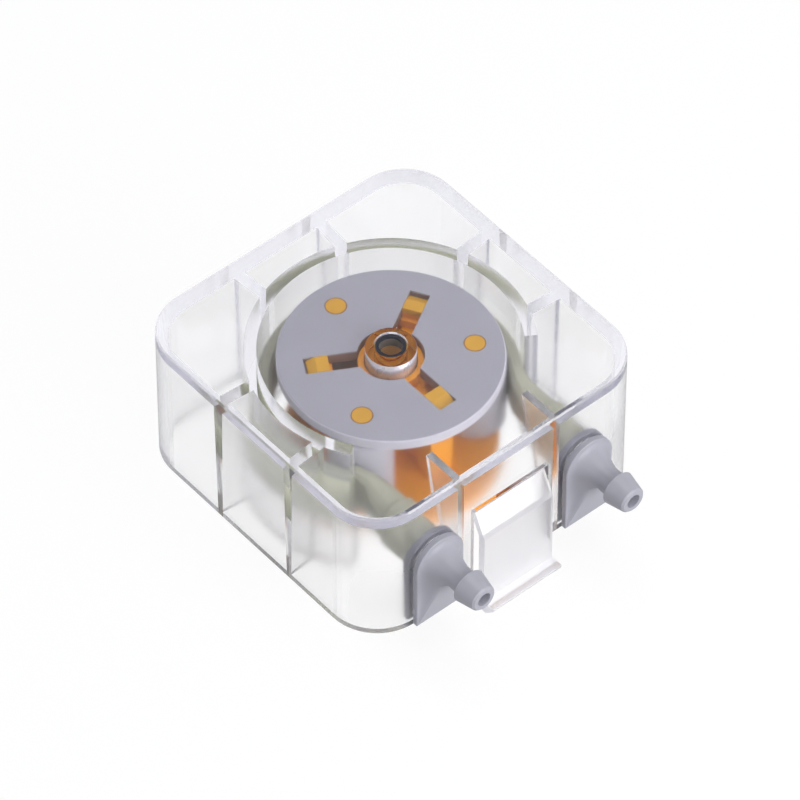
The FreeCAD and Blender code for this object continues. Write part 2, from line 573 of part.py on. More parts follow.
def rotor_frame():
    """The moulded rotor: floor, hub, pivot spigot, three hook posts and three roller axles."""
    body = new_body("rotor_frame")
    hole = BUSH_RADIUS + " + Sizes.bushPress"
    rim = "(Sizes.raceRadius - Sizes.floorEdgeGap)"
    well = "Sizes.bossRadius + Sizes.wellClear"
    well_floor = BOSS_END + " - Sizes.wellDepth"
    collar_top = DISC_TOP + " - Sizes.collarDrop"
    corners = [(hole, "Sizes.rotorFoot"),
               ("Sizes.footRadius", "Sizes.rotorFoot"),
               ("Sizes.footRadius", "Sizes.floorLevel"),
               (rim + " - Sizes.floorChamfer", "Sizes.floorLevel"),
               (rim, "Sizes.floorLevel + Sizes.floorChamfer"),
               (rim, FLOOR_TOP + " - Sizes.floorChamfer"),
               (rim + " - Sizes.floorChamfer", FLOOR_TOP),
               (HUB_RADIUS, FLOOR_TOP),
               (HUB_RADIUS, collar_top),
               (well, collar_top),
               (well, well_floor),
               ("Sizes.spigotRadius", well_floor),
               ("Sizes.spigotRadius", SPIGOT_TOP),
               (hole, SPIGOT_TOP)]
    profile = outline(body, "hub_profile", "XZ_Plane", corners)
    turn(body, "Revolution", "hub_and_floor", profile, "V_Axis")

    # one post with its web and its hook, at the front
    half = "Sizes.postWidth / 2"
    post_plan = block(body, "post_plan", "XY_Plane", ("-" + half, "-" + POST_OUT), (half, "-" + POST_IN),
                      "Sizes.floorLevel + Sizes.floorThick / 2")
    post = pad(body, "post", post_plan, DISC_LOW + " - Sizes.floorLevel - Sizes.floorThick / 2")
    half = "Sizes.webWidth / 2"
    web_plan = block(body, "web_plan", "XY_Plane", ("-" + half, "-" + POST_IN + " - Sizes.discFit"),
                     (half, "-" + HUB_RADIUS + " + Sizes.webRoot"),
                     "Sizes.floorLevel + Sizes.floorThick / 2")
    web_top = "(%s - Sizes.webDrop)" % DISC_LOW
    web = pad(body, "web", web_plan, web_top + " - Sizes.floorLevel - Sizes.floorThick / 2")
    ledge = LEDGE + " + Sizes.discFit"
    corners = [("-" + STEM_IN, web_top),
               ("-" + STEM_OUT, web_top),
               ("-" + STEM_OUT, ledge),
               ("-" + HOOK_TIP, ledge),
               ("-" + HOOK_TIP, ledge + " + Sizes.hookLip"),
               ("-" + HOOK_TIP + " + Sizes.hookSlope", DISC_TOP),
               ("-" + STEM_IN, DISC_TOP)]
    hook_view = outline(body, "hook_profile", "YZ_Plane", corners)
    hook = pad(body, "hook", hook_view, "Sizes.slotWidth - 2 * Sizes.discFit", Midplane=True)
    around(body, "hook_posts", [post, web, hook], 3)

    axle_plan = rounds(body, "axle_plan", "XY_Plane", [("Sizes.pinRadius", "0", PIN_CIRCLE)],
                       "Sizes.floorLevel + Sizes.floorThick / 2")
    axle = pad(body, "axle", axle_plan, DISC_TOP + " - Sizes.floorLevel - Sizes.floorThick / 2")
    around(body, "axles", [axle], 3)

    # drive slot across the hub's underside, for a pin through the motor shaft
    past_foot = "(Sizes.footRadius + Sizes.cutPast)"
    slot = block(body, "drive_slot_plan", "XY_Plane", ("-" + past_foot, "-Sizes.crossWidth / 2"),
                 (past_foot, "Sizes.crossWidth / 2"), "Sizes.rotorFoot")
    cut(body, "drive_slot", slot, "Sizes.crossDepth", Reversed=True)
    return body


def rotor_top_disc():
    """The grey disc that closes the rotor, held by three hooks and located by three axles."""
    body = new_body("rotor_top_disc", z=DISC_LOW)
    profile = outline(body, "disc_profile", "XZ_Plane", [
        ("Sizes.discHole", "0"),
        (DISC_RIM + " - Sizes.discChamfer", "0"),
        (DISC_RIM, "Sizes.discChamfer"),
        (DISC_RIM, "Sizes.discThick - Sizes.discChamfer"),
        (DISC_RIM + " - Sizes.discChamfer", "Sizes.discThick"),
        ("Sizes.discHole", "Sizes.discThick")])
    turn(body, "Revolution", "disc", profile, "V_Axis")
    half = "Sizes.slotWidth / 2"
    slot_plan = block(body, "slot_plan", "XY_Plane", ("-" + half, "-" + STEM_OUT + " - Sizes.discFit"),
                      (half, "0"))
    slot = cut(body, "slot", slot_plan, "Sizes.discThick", Reversed=True)
    recess_plan = block(body, "recess_plan", "XY_Plane", ("-" + half, "-" + HOOK_TIP + " - Sizes.slotClear"),
                        (half, "-" + STEM_IN), "Sizes.discThick - Sizes.ledgeDepth")
    recess = cut(body, "recess", recess_plan, "Sizes.ledgeDepth", Reversed=True)
    hole_plan = rounds(body, "pin_hole_plan", "XY_Plane",
                       [("Sizes.pinRadius + Sizes.discFit", "0", PIN_CIRCLE)])
    hole = cut(body, "pin_hole", hole_plan, "Sizes.discThick", Reversed=True)
    around(body, "slots_and_holes", [slot, recess, hole], 3)
    return body


def roller(number, angle):
    """One roller, standing on its axle between the rotor's floor and the disc."""
    label = "roller_%d" % number
    body = new_body(label, PIN_CIRCLE + " * cos(%d)" % angle, PIN_CIRCLE + " * sin(%d)" % angle,
                    FLOOR_TOP + " + Sizes.rollerEndGap")
    length = "(" + DISC_LOW + " - " + FLOOR_TOP + " - 2 * Sizes.rollerEndGap)"
    bore = "Sizes.pinRadius + Sizes.pinClear"
    edge = "Sizes.rollerRadius - Sizes.rollerChamfer"
    corners = [(bore, "0"),
               (edge, "0"),
               ("Sizes.rollerRadius", "Sizes.rollerChamfer"),
               ("Sizes.rollerRadius", length + " - Sizes.rollerChamfer"),
               (edge, length),
               (bore, length)]
    profile = outline(body, label + "_profile", "XZ_Plane", corners)
    turn(body, "Revolution", label + "_barrel", profile, "V_Axis")
    return body


def drive_bush():
    """The dark headed bush that lines the rotor's bore and shows at the spigot's end."""
    body = new_body("drive_bush")
    foot = "Sizes.rotorFoot + Sizes.crossDepth"
    corners = [("Sizes.shaftRadius", foot),
               (BUSH_RADIUS, foot),
               (BUSH_RADIUS, SPIGOT_TOP),
               ("Sizes.bushHead", SPIGOT_TOP),
               ("Sizes.bushHead", BUSH_TOP),
               ("Sizes.shaftRadius", BUSH_TOP)]
    profile = outline(body, "bush_profile", "XZ_Plane", corners)
    turn(body, "Revolution", "bush", profile, "V_Axis")
    return body


def section(spot, heading, girth, pressed, ease):
    """A closed section across the tube's path. Its eight edges change from arcs of one circle, at
    ease 0, to the pressed shape with flat sides and bevelled ends, at ease 1."""
    aside = FreeCAD.Vector(heading.y, -heading.x, 0)
    flat, tall, bevel = pressed

    def blend(circle_angle, across, up):
        """A point of the circle, moved towards the pressed shape's point."""
        out = girth * math.cos(circle_angle) * (1 - ease) + across * ease
        rise = girth * math.sin(circle_angle) * (1 - ease) + up * ease
        return spot + aside * out + FreeCAD.Vector(0, 0, rise)

    corners = []
    for across, up in ((1, -1), (1, 1), (-1, 1), (-1, -1)):
        lower = (across * flat, up * (tall - bevel))
        upper = (across * (flat - bevel), up * tall)
        corners += [lower, upper] if across * up > 0 else [upper, lower]
    edges = []
    for i in range(8):
        first, last = corners[i], corners[(i + 1) % 8]
        angle = math.radians(45 * i - 67.5)
        start = blend(angle, *first)
        end = blend(angle + math.radians(45), *last)
        middle = blend(angle + math.radians(22.5), (first[0] + last[0]) / 2, (first[1] + last[1]) / 2)
        curve = Part.LineSegment(start, end) if ease == 1.0 else Part.Arc(start, middle, end)
        edges.append(curve.toShape())
    return Part.Wire(edges)


def tube_solid(radius, barb_radius, pressed):
    """The tube's outside or its bore: straight legs over the inner barbs, flattening leads,
    and the pressed part along the raceway. The left half is mirrored for the right."""
    level = size("portHeight")
    middle = size("raceRadius") - size("tubeSeat") - pressed_thickness() / 2
    angle = math.radians(270 - size("raceGap"))
    heading = FreeCAD.Vector(math.sin(angle), -math.cos(angle), 0)
    race_start = FreeCAD.Vector(middle * math.cos(angle), middle * math.sin(angle), level)
    forward = FreeCAD.Vector(0, 1, 0)
    across = -size("portSpread")
    flange_face = -size("bodyDepth") / 2 + size("wallThick") + size("seatClear") + size("innerFlange")
    tube_end = flange_face + size("seatClear")
    barb_end = flange_face + size("innerReach")
    slack = barb_end + size("tubeRelax") / 2
    round_end = barb_end + size("tubeRelax")
    lead_start = FreeCAD.Vector(across, round_end, level)
    pull = (race_start - lead_start).Length / 3
    knots = (lead_start, lead_start + forward * pull, race_start - heading * pull, race_start)

    def lead(share):
        """Place and direction along the smooth lead from the leg to the raceway."""
        rest = 1.0 - share
        weights = (rest ** 3, 3 * rest ** 2 * share, 3 * rest * share ** 2, share ** 3)
        spot = FreeCAD.Vector(0, 0, 0)
        for knot, weight in zip(knots, weights):
            spot = spot + knot * weight
        slope = (knots[1] - knots[0]) * rest ** 2 + (knots[2] - knots[1]) * (2 * rest * share)
        slope = slope + (knots[3] - knots[2]) * share ** 2
        return spot, slope.normalize()

    def cone(start, end, first, last):
        spot = FreeCAD.Vector(across, start, level)
        if first == last:
            return Part.makeCylinder(first, end - start, spot, forward)
        return Part.makeCone(first, last, end - start, spot, forward)

    left = [cone(tube_end, barb_end, barb_radius, barb_radius), cone(barb_end, slack, barb_radius, radius),
            cone(slack, round_end, radius, radius)]
    sections = []
    for step in range(4):
        share = step / 3
        ease = share * share * (3 - 2 * share)
        sections.append(section(*lead(share), radius, pressed, ease))
    left.append(Part.makeLoft(sections, True, True))
    ring = Part.Face(sections[-1]).revolve(FreeCAD.Vector(0, 0, 0), FreeCAD.Vector(0, 0, -1),
                                           360 - 2 * size("raceGap"))
    right = [piece.mirror(FreeCAD.Vector(0, 0, 0), FreeCAD.Vector(1, 0, 0)) for piece in left]
    pieces = left + [ring] + right
    return pieces[0].multiFuse(pieces[1:]).removeSplitter()


def pressed_thickness():
    """The tube's thickness between the raceway and a passing roller."""
    return size("squeezeGap") - size("rollerPass") - size("tubeSeat")


def pump_tube():
    """The soft tube: pushed over both inner barbs and pressed between rollers and raceway."""
    radius = size("tubeRadius")
    flat = pressed_thickness() / 2
    tall = size("tubeFlatHeight") / 2
    slit = size("tubeSlit") / 2
    outside = tube_solid(radius, radius + size("tubeStretch"), (flat, tall, flat / 2))
    inside = tube_solid(radius - size("tubeWall"), size("innerBarbRadius") + size("tubeGrip"),
                        (slit, tall - flat + slit, slit / 2))
    tube = doc.addObject("Part::Feature", "pump_tube")
    tube.Label = "pump_tube"
    tube.Shape = outside.cut(inside)
    return tube


pieces = [cover_shell(), release_latch(), rotor_frame(), rotor_top_disc(), drive_bush(),
          connector("connector_left", "-"), connector("connector_right", ""), pump_tube()]
for number, angle in enumerate(ROLLER_ANGLES, start=1):
    pieces.append(roller(number, angle))
doc.recompute()

for item in doc.Objects:
    if "Invalid" in item.State or "Error" in item.State:
        raise RuntimeError("failed: " + item.Name + " " + str(item.State))
os.makedirs("parts", exist_ok=True)
for piece in pieces:
    shape = piece.Shape
    if shape.isNull() or not shape.isValid() or not shape.Solids:
        raise RuntimeError("bad shape: " + piece.Label)
    box = shape.BoundBox
    print("%-16s solids %d  volume %9.2f  x %7.2f %7.2f  y %7.2f %7.2f  z %6.2f %6.2f" % (
        piece.Label, len(shape.Solids), shape.Volume, box.XMin, box.XMax, box.YMin, box.YMax,
        box.ZMin, box.ZMax))
    shape.exportStep("parts/%s.step" % piece.Label)
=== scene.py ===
import math
import bpy
import numpy as np
from mathutils import Matrix, Vector


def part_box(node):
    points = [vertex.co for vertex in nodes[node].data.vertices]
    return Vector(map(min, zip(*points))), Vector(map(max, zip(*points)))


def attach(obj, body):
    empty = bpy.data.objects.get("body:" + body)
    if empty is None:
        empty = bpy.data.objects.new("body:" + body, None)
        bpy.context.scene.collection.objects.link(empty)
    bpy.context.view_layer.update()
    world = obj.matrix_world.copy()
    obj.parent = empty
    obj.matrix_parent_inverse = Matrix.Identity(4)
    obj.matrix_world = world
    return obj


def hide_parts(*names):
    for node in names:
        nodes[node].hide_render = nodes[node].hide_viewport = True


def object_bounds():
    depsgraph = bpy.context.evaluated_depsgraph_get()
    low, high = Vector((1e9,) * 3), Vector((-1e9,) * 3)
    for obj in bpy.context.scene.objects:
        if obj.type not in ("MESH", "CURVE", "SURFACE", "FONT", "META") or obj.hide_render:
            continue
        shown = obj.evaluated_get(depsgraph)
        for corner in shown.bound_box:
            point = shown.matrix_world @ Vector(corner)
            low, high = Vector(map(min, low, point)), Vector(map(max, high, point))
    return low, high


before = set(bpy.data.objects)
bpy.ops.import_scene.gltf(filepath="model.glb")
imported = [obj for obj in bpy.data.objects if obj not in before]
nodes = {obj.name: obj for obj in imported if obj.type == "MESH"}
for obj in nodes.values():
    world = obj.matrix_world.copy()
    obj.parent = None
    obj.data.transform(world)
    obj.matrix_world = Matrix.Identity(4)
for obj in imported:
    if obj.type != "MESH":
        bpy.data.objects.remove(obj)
cadLow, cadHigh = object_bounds()
mm = 0.001
inPlan = (1, 1, 0)
print("frame loaded:", len(nodes), "nodes")


# Node helpers

def newMaterial(name):
    # an empty node material with its output
    material = bpy.data.materials.new(name)
    material.use_nodes = True
    tree = material.node_tree
    tree.nodes.clear()
    output = tree.nodes.new("ShaderNodeOutputMaterial")
    return material, tree, output


def feed(tree, socket, source):
    # a socket takes a link from another socket, or a plain value
    if isinstance(source, bpy.types.NodeSocket):
        tree.links.new(source, socket)
    else:
        socket.default_value = source


def addNode(tree, kind, **settings):
    # a node whose inputs are fed by name and whose properties are set as attributes
    node = tree.nodes.new(kind)
    for key, value in settings.items():
        if key in node.inputs:
            feed(tree, node.inputs[key], value)
        else:
            setattr(node, key, value)
    return node


def setInputs(tree, node, values):
    for key, value in values.items():
        feed(tree, node.inputs[key], value)


def fold(tree, kind, operation, sources):
    # a math node of the kind given, fed in order with sockets or plain values
    node = addNode(tree, kind, operation=operation)
    for socket, source in zip(node.inputs, sources):
        feed(tree, socket, source)
    return node


def number(tree, operation, *sources):
    return fold(tree, "ShaderNodeMath", operation, sources).outputs[0]


def vector(tree, operation, *sources):
    return fold(tree, "ShaderNodeVectorMath", operation, sources).outputs["Vector"]


def length(tree, operation, *sources):
    return fold(tree, "ShaderNodeVectorMath", operation, sources).outputs["Value"]


def rescale(tree, value, fromEnds, toEnds, clamp=True):
    # a straight line from one pair of ends to the other
    node = addNode(tree, "ShaderNodeMapRange", clamp=clamp)
    setInputs(tree, node, {"Value": value, "From Min": fromEnds[0], "From Max": fromEnds[1],
                           "To Min": toEnds[0], "To Max": toEnds[1]})
    return node.outputs["Result"]


def mixShaders(tree, share, first, second):
    node = tree.nodes.new("ShaderNodeMixShader")
    for socket, source in zip(node.inputs, (share, first, second)):
        feed(tree, socket, source)
    return node.outputs[0]


def split(tree, source):
    # the three parts of a vector
    node = addNode(tree, "ShaderNodeSeparateXYZ")
    feed(tree, node.inputs[0], source)
    return node.outputs["X"], node.outputs["Y"], node.outputs["Z"]


def objectPlace(tree):
    return addNode(tree, "ShaderNodeTexCoord").outputs["Object"]


def notScattered(tree, rays):
    # one where light reached this point without a matt bounce
    halfBounce = 0.5
    return number(tree, "LESS_THAN", rays.outputs["Diffuse Depth"], halfBounce)


# Shared effect: the skin of a moulded part, with fine spark-eroded grain and faint flow clouds.
# Height is fine noise; colour runs from dark to light with slow noise; roughness is a base
# plus the slow noise, centred on nought, times a spread.

def buildMouldSkin():
    group = bpy.data.node_groups.new("mouldSkin", "ShaderNodeTree")
    for label, kind, value in (("Dark", "NodeSocketColor", (0.4, 0.4, 0.4, 1)),
                               ("Light", "NodeSocketColor", (0.5, 0.5, 0.5, 1)),
                               ("Grain Scale", "NodeSocketFloat", 4000.0),
                               ("Grain Depth", "NodeSocketFloat", 0.00001),
                               ("Cloud Scale", "NodeSocketFloat", 120.0),
                               ("Roughness", "NodeSocketFloat", 0.4),
                               ("Roughness Spread", "NodeSocketFloat", 0.08)):
        socket = group.interface.new_socket(name=label, in_out="INPUT", socket_type=kind)
        socket.default_value = value
    for label, kind in (("Color", "NodeSocketColor"), ("Roughness", "NodeSocketFloat"),
                        ("Normal", "NodeSocketVector")):
        group.interface.new_socket(name=label, in_out="OUTPUT", socket_type=kind)
    given = addNode(group, "NodeGroupInput").outputs
    end = addNode(group, "NodeGroupOutput")
    place = objectPlace(group)
    grain = addNode(group, "ShaderNodeTexNoise", Vector=place, Scale=given["Grain Scale"],
                    Detail=3.0, Roughness=0.6)
    cloud = addNode(group, "ShaderNodeTexNoise", Vector=place, Scale=given["Cloud Scale"],
                    Detail=2.0, Roughness=0.5)
    tint = addNode(group, "ShaderNodeMix", data_type="RGBA")
    setInputs(group, tint, {"Factor": cloud.outputs["Fac"], "A": given["Dark"],
                            "B": given["Light"]})
    noiseMiddle = 0.5
    centred = number(group, "SUBTRACT", cloud.outputs["Fac"], noiseMiddle)
    roughness = number(group, "MULTIPLY_ADD", centred, given["Roughness Spread"],
                       given["Roughness"])
    bump = addNode(group, "ShaderNodeBump", Strength=1.0, Height=grain.outputs["Fac"],
                   Distance=given["Grain Depth"])
    setInputs(group, end, {"Color": tint.outputs["Result"], "Roughness": roughness,
                           "Normal": bump.outputs["Normal"]})
    return group


mouldSkin = buildMouldSkin()


def measure(tree, kind):
    # a distance worked out from the object's own coordinates: height over the open underside,
    # reach from the drive axis, depth to the front or back of that axis, or axle, the least
    # distance from a roller's axis
    axes = {"height": (0, 0, 1), "depth": (0, 1, 0), "reach": inPlan, "axle": inPlan}
    flat = vector(tree, "MULTIPLY", objectPlace(tree), axes[kind])
    if kind != "axle":
        return length(tree, "LENGTH", flat)
    ways = []
    for roller in ("roller_1", "roller_2", "roller_3"):
        low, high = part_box(roller)
        middle = ((low[0] + high[0]) / 2, (low[1] + high[1]) / 2, 0)
        ways.append(length(tree, "DISTANCE", flat, middle))
    return number(tree, "MINIMUM", number(tree, "MINIMUM", ways[0], ways[1]), ways[2])


def mouldedPlastic(finish):
    # an opaque moulded plastic: the shared skin feeds colour, roughness and normal; each band
    # recolours the places where all its tests hold
    material, tree, output = newMaterial(finish["name"])
    skin = addNode(tree, "ShaderNodeGroup", node_tree=mouldSkin)
    setInputs(tree, skin, finish["skin"])
    color = skin.outputs["Color"]
    for spec in finish.get("bands", ()):
        mask = None
        for kind, test, level in spec["where"]:
            holds = number(tree, test, measure(tree, kind), level)
            mask = holds if mask is None else number(tree, "MULTIPLY", mask, holds)
        band = addNode(tree, "ShaderNodeMix", data_type="RGBA")
        setInputs(tree, band, {"Factor": mask, "A": color, "B": spec["color"]})
        color = band.outputs["Result"]
    surface = addNode(tree, "ShaderNodeBsdfPrincipled")
    setInputs(tree, surface, finish["surface"])
    setInputs(tree, surface, {"Base Color": color, "Roughness": skin.outputs["Roughness"],
                              "Normal": skin.outputs["Normal"]})
    feed(tree, output.inputs["Surface"], surface.outputs[0])
    return material


# Clear cover and latch: the outer faces and the boss are polished, the other faces inside are
# finely frosted, the side walls most and the plate's underside least, so what lies deep looks
# soft. Outside is told from inside by the distance from a rectangle whose corners are the
# centres of the outer corner rounding; on the outer face it is the corner radius. The front
# wall is frosted more towards its foot. The seam box is where the latch's root meets the wall,
# one moulding there.

clearFinish = {"tint": (0.998, 0.998, 1.0, 1), "polished": 0.012, "frosted": 0.16, "ior": 1.585,
               "plateUnder": 0.0253, "underFrom": 0.0249, "underShare": 0.9,
               "wallFrom": 0.0220, "wallTo": 0.0272, "sideMore": 0.4, "foot": 0.00005,
               "bossPast": 0.005, "cornerCentre": (0.0206, 0.0208, 0.0), "outerFrom": 0.0092,
               "frontLow": 0.006, "frontHigh": 0.018, "frontMore": 1.8,
               "absorption": (0.44, 0.43, 0.72, 1), "density": 6.0,
               "shadowTint": (0.97, 0.97, 0.98, 1), "seamMiddle": (0.0, -0.0291, 0.01752),
               "seamHalf": (0.00745, 0.0008, 0.0004)}
latchFinish = dict(clearFinish, tint=(0.965, 0.963, 0.985, 1), polished=0.34, frosted=0.34,
                   underShare=1.0, frontMore=0.0, density=9.0)


def frostShare(tree, place, finish):
    # one on the frosted faces inside, times a share for the plate's underside, one for the
    # side walls and one for the front wall; nought on the outer faces and on the boss
    unit = (0.0, 1.0)
    y, z = split(tree, place)[1:]
    apart = vector(tree, "ABSOLUTE", place)
    corner = vector(tree, "SUBTRACT", apart, finish["cornerCentre"])
    outward = vector(tree, "MAXIMUM", corner, (0, 0, 0))
    reach = length(tree, "LENGTH", vector(tree, "MULTIPLY", outward, inPlan))
    under = number(tree, "LESS_THAN", z, finish["plateUnder"])
    over = number(tree, "GREATER_THAN", z, finish["foot"])
    within = number(tree, "LESS_THAN", reach, finish["outerFrom"])
    inner = number(tree, "MULTIPLY", number(tree, "MULTIPLY", under, over), within)
    axisFar = length(tree, "LENGTH", vector(tree, "MULTIPLY", place, inPlan))
    pastBoss = number(tree, "GREATER_THAN", axisFar, finish["bossPast"])
    apartFromBoss = number(tree, "MULTIPLY", inner, pastBoss)
    high = number(tree, "GREATER_THAN", z, finish["underFrom"])
    underKeep = rescale(tree, high, unit, (1.0, finish["underShare"]))
    sideKeep = rescale(tree, split(tree, apart)[0], (finish["wallFrom"], finish["wallTo"]),
                       (1.0, 1.0 + finish["sideMore"]))
    toFront = rescale(tree, y, (-finish["wallFrom"], -finish["wallTo"]), unit)
    climb = rescale(tree, z, (finish["frontLow"], finish["frontHigh"]),
                    (finish["frontMore"], 0.0))
    frontKeep = number(tree, "ADD", 1.0, number(tree, "MULTIPLY", toFront, climb))
    byPlace = number(tree, "MULTIPLY", underKeep, sideKeep)
    byAll = number(tree, "MULTIPLY", frontKeep, byPlace)
    return number(tree, "MULTIPLY", apartFromBoss, byAll)


def seamMask(tree, place, finish):
    # one where each of the three ways from the seam's middle is less than its half size
    away = vector(tree, "ABSOLUTE", vector(tree, "SUBTRACT", place, finish["seamMiddle"]))
    x, y, z = split(tree, vector(tree, "SUBTRACT", finish["seamHalf"], away))
    least = number(tree, "MINIMUM", number(tree, "MINIMUM", x, y), z)
    return number(tree, "GREATER_THAN", least, 0.0)


def clearPlastic(name, finish):
    # roughness runs from polished to frosted; shadow rays and the seam go straight through
    material, tree, output = newMaterial(name)
    place = objectPlace(tree)
    roughness = rescale(tree, frostShare(tree, place, finish), (0.0, 1.0),
                        (finish["polished"], finish["frosted"]), clamp=False)
    surface = addNode(tree, "ShaderNodeBsdfPrincipled")
    setInputs(tree, surface, {"Base Color": finish["tint"], "IOR": finish["ior"],
                              "Transmission Weight": 1.0, "Roughness": roughness})
    through = addNode(tree, "ShaderNodeBsdfTransparent", Color=finish["shadowTint"])
    joined = addNode(tree, "ShaderNodeBsdfTransparent")
    rays = addNode(tree, "ShaderNodeLightPath")
    lit = mixShaders(tree, rays.outputs["Is Shadow Ray"], surface.outputs[0],
                     through.outputs[0])
    whole = mixShaders(tree, seamMask(tree, place, finish), lit, joined.outputs[0])
    inside = addNode(tree, "ShaderNodeVolumeAbsorption", Color=finish["absorption"],
                     Density=finish["density"])
    feed(tree, output.inputs["Surface"], whole)
    feed(tree, output.inputs["Volume"], inside.outputs[0])
    return material


# Opaque finishes. Band levels are in metres. Below a level under the hook tops the orange is
# deeper and brighter, a painted glow for light bounced inside the orange plastic; the axle ends
# have a dark rim between two reaches from their axes, painted shade in the thin gap round each
# axle. The disc is dark below a level just under its top face, in its slots and underneath, as
# painted shade, and pale past a reach at its edge, as a painted highlight. The connectors are
# darker behind the front wall's outer face, painted shade on the web and inner flange. The bush
# is dark over its top lip and outside the bore wall: the ring's own dark colour, with painted
# shade in the top of the bore. Deep in the bore it is warm, painted warm light.

levels = {"orangeGlowBelow": 0.0222, "discShadeTop": 0.0230, "discRimHighlight": 0.01872, "axleGapShadeFrom": 0.00168,
          "axleGapShadeTo": 0.0021, "backFlangeShade": 0.0300, "boreWall": 0.00203, "boreWarmLight": 0.0022,
          "boreLipShade": 0.0005}
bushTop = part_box("drive_bush")[1][2]
# the bush ring's own dark navy, also used as painted shade in the top of the bore
bushDarkAndLipShade = (0.006, 0.009, 0.022, 1)
plastics = {
    "orange": {"name": "orangeMoulding",
               "skin": {"Dark": (0.66, 0.33, 0.010, 1), "Light": (0.80, 0.42, 0.018, 1),
                        "Grain Scale": 2500.0, "Grain Depth": 0.000006, "Cloud Scale": 200.0,
                        "Roughness": 0.32, "Roughness Spread": 0.1},
               "surface": {"IOR": 1.5},
               # painted glow: the orange below this level is brighter and more saturated,
               # standing in for light bounced inside the orange plastic
               "bands": [{"where": [("height", "LESS_THAN", levels["orangeGlowBelow"])],
                          "color": (0.95, 0.37, 0.010, 1)},
                         # painted shade: a dark rim round each axle end, standing in for the
                         # thin gap between the axle and the disc hole
                         {"where": [("height", "GREATER_THAN", levels["orangeGlowBelow"]),
                                    ("axle", "GREATER_THAN", levels["axleGapShadeFrom"]),
                                    ("axle", "LESS_THAN", levels["axleGapShadeTo"])],
                          "color": (0.36, 0.13, 0.02, 1)}]},
    "disc": {"name": "greyDisc",
             "skin": {"Dark": (0.37, 0.365, 0.425, 1), "Light": (0.41, 0.405, 0.465, 1),
                      "Grain Scale": 3000.0, "Grain Depth": 0.000005, "Cloud Scale": 150.0,
                      "Roughness": 0.45, "Roughness Spread": 0.08},
             "surface": {"IOR": 1.5},
             # painted shade: the slot walls and the underside of the disc are dark brown
             "bands": [{"where": [("height", "LESS_THAN", levels["discShadeTop"])],
                        "color": (0.25, 0.165, 0.15, 1)},
                       # painted highlight: the disc's edge is made pale
                       {"where": [("reach", "GREATER_THAN", levels["discRimHighlight"])],
                        "color": (0.68, 0.665, 0.74, 1)}]},
    "roller": {"name": "greyRoller",
               "skin": {"Dark": (0.50, 0.49, 0.55, 1), "Light": (0.56, 0.55, 0.61, 1),
                        "Grain Scale": 3000.0, "Grain Depth": 0.000004, "Cloud Scale": 150.0,
                        "Roughness": 0.35, "Roughness Spread": 0.08},
               "surface": {"IOR": 1.5}},
    "connector": {"name": "greyConnector",
                  "skin": {"Dark": (0.42, 0.42, 0.48, 1), "Light": (0.47, 0.47, 0.53, 1),
                           "Grain Scale": 3500.0, "Grain Depth": 0.000004,
                           "Cloud Scale": 250.0, "Roughness": 0.40, "Roughness Spread": 0.1},
                  "surface": {"IOR": 1.5},
                  # painted shade: the web and inner flange behind the front wall's outer face
                  # are darker
                  "bands": [{"where": [("depth", "LESS_THAN", levels["backFlangeShade"])],
                             "color": (0.27, 0.27, 0.32, 1)}]},
    "bush": {"name": "darkBush",
             "skin": {"Dark": (0.21, 0.185, 0.165, 1), "Light": (0.25, 0.22, 0.19, 1),
                      "Grain Scale": 3000.0, "Grain Depth": 0.000004, "Cloud Scale": 200.0,
                      "Roughness": 0.3, "Roughness Spread": 0.08},
             "surface": {"IOR": 1.25},
             # painted warm light: deep in the bore the colour is bright orange
             "bands": [{"where": [("height", "LESS_THAN", bushTop - levels["boreWarmLight"])],
                        "color": (0.95, 0.60, 0.20, 1)},
                       # the top face keeps the ring's own dark colour; in the top of the bore
                       # this is painted shade
                       {"where": [("height", "GREATER_THAN", bushTop - levels["boreLipShade"])],
                        "color": bushDarkAndLipShade},
                       {"where": [("reach", "GREATER_THAN", levels["boreWall"])],
                        "color": bushDarkAndLipShade}]},
    "tube": {"name": "softTube",
             "skin": {"Dark": (0.54, 0.54, 0.43, 1), "Light": (0.60, 0.60, 0.48, 1),
                      "Grain Scale": 900.0, "Grain Depth": 0.000005, "Cloud Scale": 120.0,
                      "Roughness": 0.5, "Roughness Spread": 0.1},
             "surface": {"IOR": 1.42, "Transmission Weight": 0.3}},
    # painted light: a much lighter copy of the tube's colour, brightened for the shade the
    # contact band stands in
    "tubeContactBrightened": {"name": "tubeContactBrightened",
                    "skin": {"Dark": (0.88, 0.89, 0.66, 1), "Light": (0.94, 0.95, 0.73, 1),
                             "Grain Scale": 900.0, "Grain Depth": 0.000002,
                             "Cloud Scale": 160.0, "Roughness": 0.6,
                             "Roughness Spread": 0.1},
                    "surface": {"IOR": 1.3}},
    "boss": {"name": "frostedBoss",
             "skin": {"Dark": (0.70, 0.66, 0.70, 1), "Light": (0.80, 0.76, 0.80, 1),
                      "Grain Scale": 2500.0, "Grain Depth": 0.000004, "Cloud Scale": 300.0,
                      "Roughness": 0.28, "Roughness Spread": 0.1},
             "surface": {"IOR": 1.58, "Metallic": 0.5}},
}
made = {"clear": clearPlastic("clearPolycarbonate", clearFinish),
        "latch": clearPlastic("clearLatch", latchFinish)}
made.update({key: mouldedPlastic(finish) for key, finish in plastics.items()})
wears = {"cover_shell": "clear", "release_latch": "latch", "rotor_frame": "orange",
         "rotor_top_disc": "disc", "roller_1": "roller", "roller_2": "roller",
         "roller_3": "roller", "drive_bush": "bush", "pump_tube": "tube",
         "connector_left": "connector", "connector_right": "connector"}
for node, key in wears.items():
    nodes[node].data.materials.clear()
    nodes[node].data.materials.append(made[key])
print("finishes assigned")


# Surfaces worked out as grids of points

